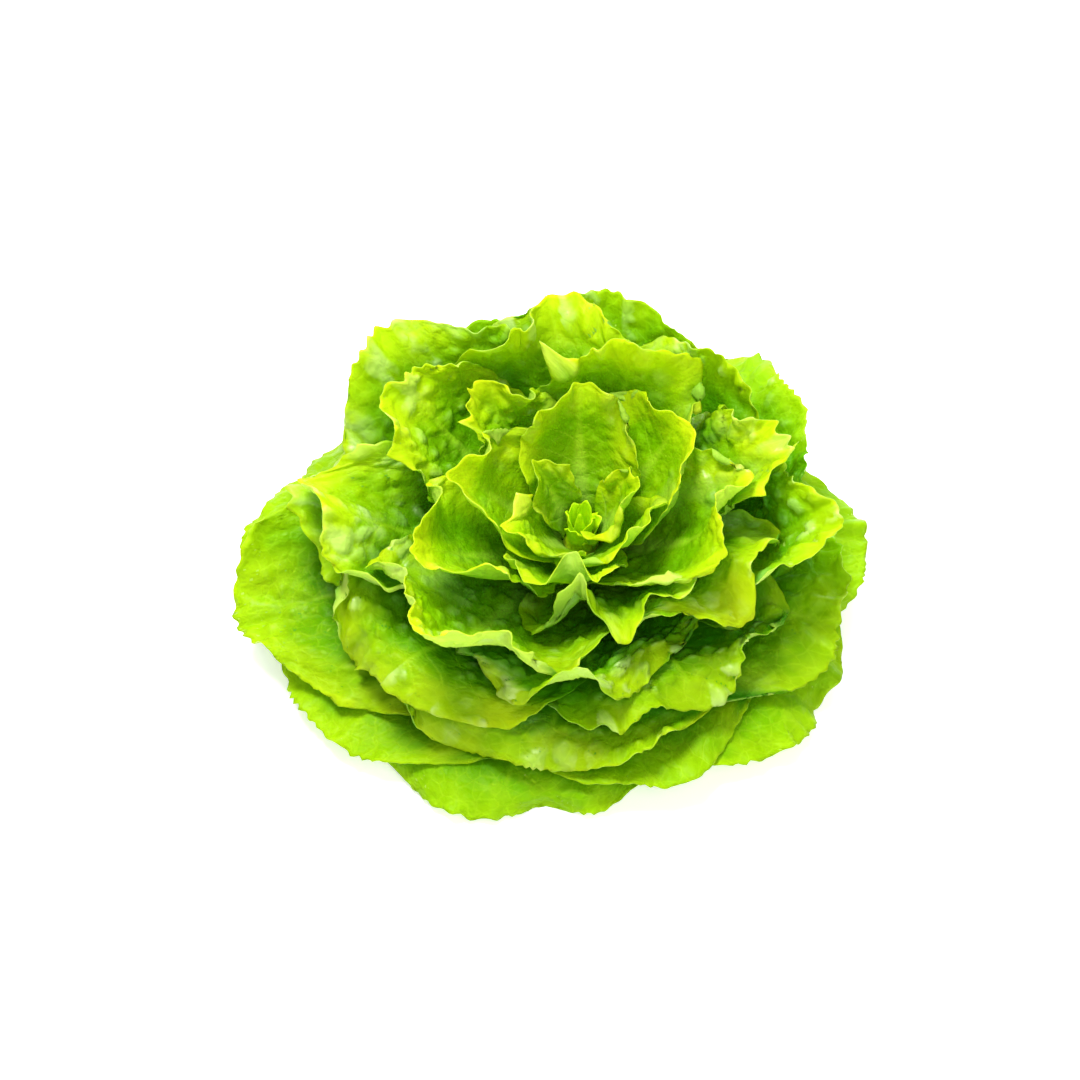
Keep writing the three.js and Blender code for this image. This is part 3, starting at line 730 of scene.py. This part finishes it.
def bud_leaf(number, foot, rise):
    """A small leaf wrapped round the bud: the points of its two faces."""
    along, across = np.meshgrid(
        np.linspace(0, 1, BUD_LEAF_POINTS), np.linspace(-1, 1, BUD_LEAF_POINTS), indexing="ij"
    )
    wide = (BUD_LEAF_HALF_WIDTH + 0.35 * number) * MM * np.sin(math.pi * (0.16 + 0.66 * along))
    out = BUD_LEAF_FOOT + BUD_LEAF_GAP * number + (0.7 + 0.34 * number) * MM * along**2
    out = out + (0.25 + 0.12 * number) * MM * along**2 * np.sin(5 * across + 2 * number)
    turn = 2.4 * number + 0.9 + across * wide / out
    height = rise * (1.02 - 0.09 * number) * along - 2.4 * MM * across**2 * along
    middle = np.stack([out * np.cos(turn), out * np.sin(turn), height], -1) + foot
    normal = grid_normals(middle)
    return middle + normal * BUD_LEAF_THICKNESS / 2, middle - normal * BUD_LEAF_THICKNESS / 2


def leafy_bud(mesh):
    """The bud drawn in, with small leaves round it."""
    points = np.array([vertex.co for vertex in mesh.vertices])
    low, high = points[:, 2].min(), points[:, 2].max()
    foot = points[points[:, 2] < low + 1 * MM].mean(0)
    apex = points[points[:, 2].argmax()]
    share = ((points[:, 2] - low) / (high - low))[:, None]
    axis = foot + (apex - foot) * share
    points[:, :2] = (axis + (points - axis) * BUD_SHARE)[:, :2]
    faces = [tuple(polygon.vertices) for polygon in mesh.polygons]
    for number in range(BUD_LEAVES):
        upper, lower = bud_leaf(number, foot, high - low)
        faces += (shell_faces(*upper.shape[:2]) + len(points)).tolist()
        points = np.concatenate([points, upper.reshape(-1, 3), lower.reshape(-1, 3)])
    leafy = bpy.data.meshes.new("leafy_bud")
    leafy.from_pydata(points.tolist(), [], faces)
    for polygon in leafy.polygons:
        polygon.use_smooth = True
    return leafy


stem_skin = plain_material("lettuce_stem", (*CUT_STEM, *INNER_GREEN), 130.0, 0.5, 0.0008)
bud_skin = plain_material("lettuce_bud", (*INNER_GREEN, *INNER_GREEN), 160.0, 0.5, 0.0006)
add_object("cut_stem", finer_copy("stem", 2), "stem", stem_skin)
add_object("closed_bud", leafy_bud(finer_copy("heart_bud", 2)), "heart_bud", bud_skin)

# Floor, light and camera

FLOOR_HALF = 6
PAPER_GLOW = 0.4
WORLD_LIGHT = 0.4

corners = [(-FLOOR_HALF, -FLOOR_HALF, 0), (FLOOR_HALF, -FLOOR_HALF, 0)]
corners += [(FLOOR_HALF, FLOOR_HALF, 0), (-FLOOR_HALF, FLOOR_HALF, 0)]
floor_mesh = bpy.data.meshes.new("floor")
floor_mesh.from_pydata(corners, [], [(0, 1, 2, 3)])
floor = bpy.data.objects.new("floor", floor_mesh)
scene.collection.objects.link(floor)
n = Nodes("floor")
paper_inputs = {"Base Color": (0.93, 0.93, 0.93), "Roughness": 0.8}
paper_inputs.update({"Emission Color": (1, 1, 1), "Emission Strength": PAPER_GLOW})
paper = n.add("ShaderNodeBsdfPrincipled", paper_inputs)
n.add("ShaderNodeOutputMaterial", {"Surface": paper.outputs[0]})
floor_mesh.materials.append(n.material)

world = bpy.data.worlds.new("studio")
world.use_nodes = True
world.node_tree.nodes["Background"].inputs[0].default_value = (1, 1, 1, 1)
world.node_tree.nodes["Background"].inputs[1].default_value = WORLD_LIGHT
scene.world = world


def add_light(name, place, size, power, target=(0, 0, 0.05)):
    light = bpy.data.lights.new(name, "AREA")
    light.shape = "DISK"
    light.size = size
    light.energy = power
    lamp = bpy.data.objects.new(name, light)
    scene.collection.objects.link(lamp)
    lamp.location = place
    lamp.rotation_euler = (Vector(target) - Vector(place)).to_track_quat("-Z", "Y").to_euler()


add_light("key", (-0.24, 0.1, 1.12), 0.4, 20.0)
add_light("fill", (0.3, -0.85, 0.8), 1.0, 7.0)
add_light("back", (0.25, 1.05, 0.75), 0.8, 14.0)

# The photograph's view, from the front, with the head about 630 of its 1080 pixels wide
ELEVATION = math.radians(50)
LENS = 85.0
SENSOR = 36.0
VIEW_WIDTH = 0.465
PICTURE_SHIFT = -40 / 1080
target = Vector((0, 0, 0.036))
away = Vector((0, -math.cos(ELEVATION), math.sin(ELEVATION))) * (VIEW_WIDTH * LENS / SENSOR)
camera_data = bpy.data.cameras.new("camera")
camera_data.lens = LENS
camera_data.sensor_width = SENSOR
camera_data.shift_x = PICTURE_SHIFT
camera = bpy.data.objects.new("camera", camera_data)
scene.collection.objects.link(camera)
camera.location = target + away
camera.rotation_euler = (-away).to_track_quat("-Z", "Y").to_euler()
scene.camera = camera
scene.view_settings.view_transform = "Standard"
scene.view_settings.look = "None"
scene.view_settings.exposure = 0.0
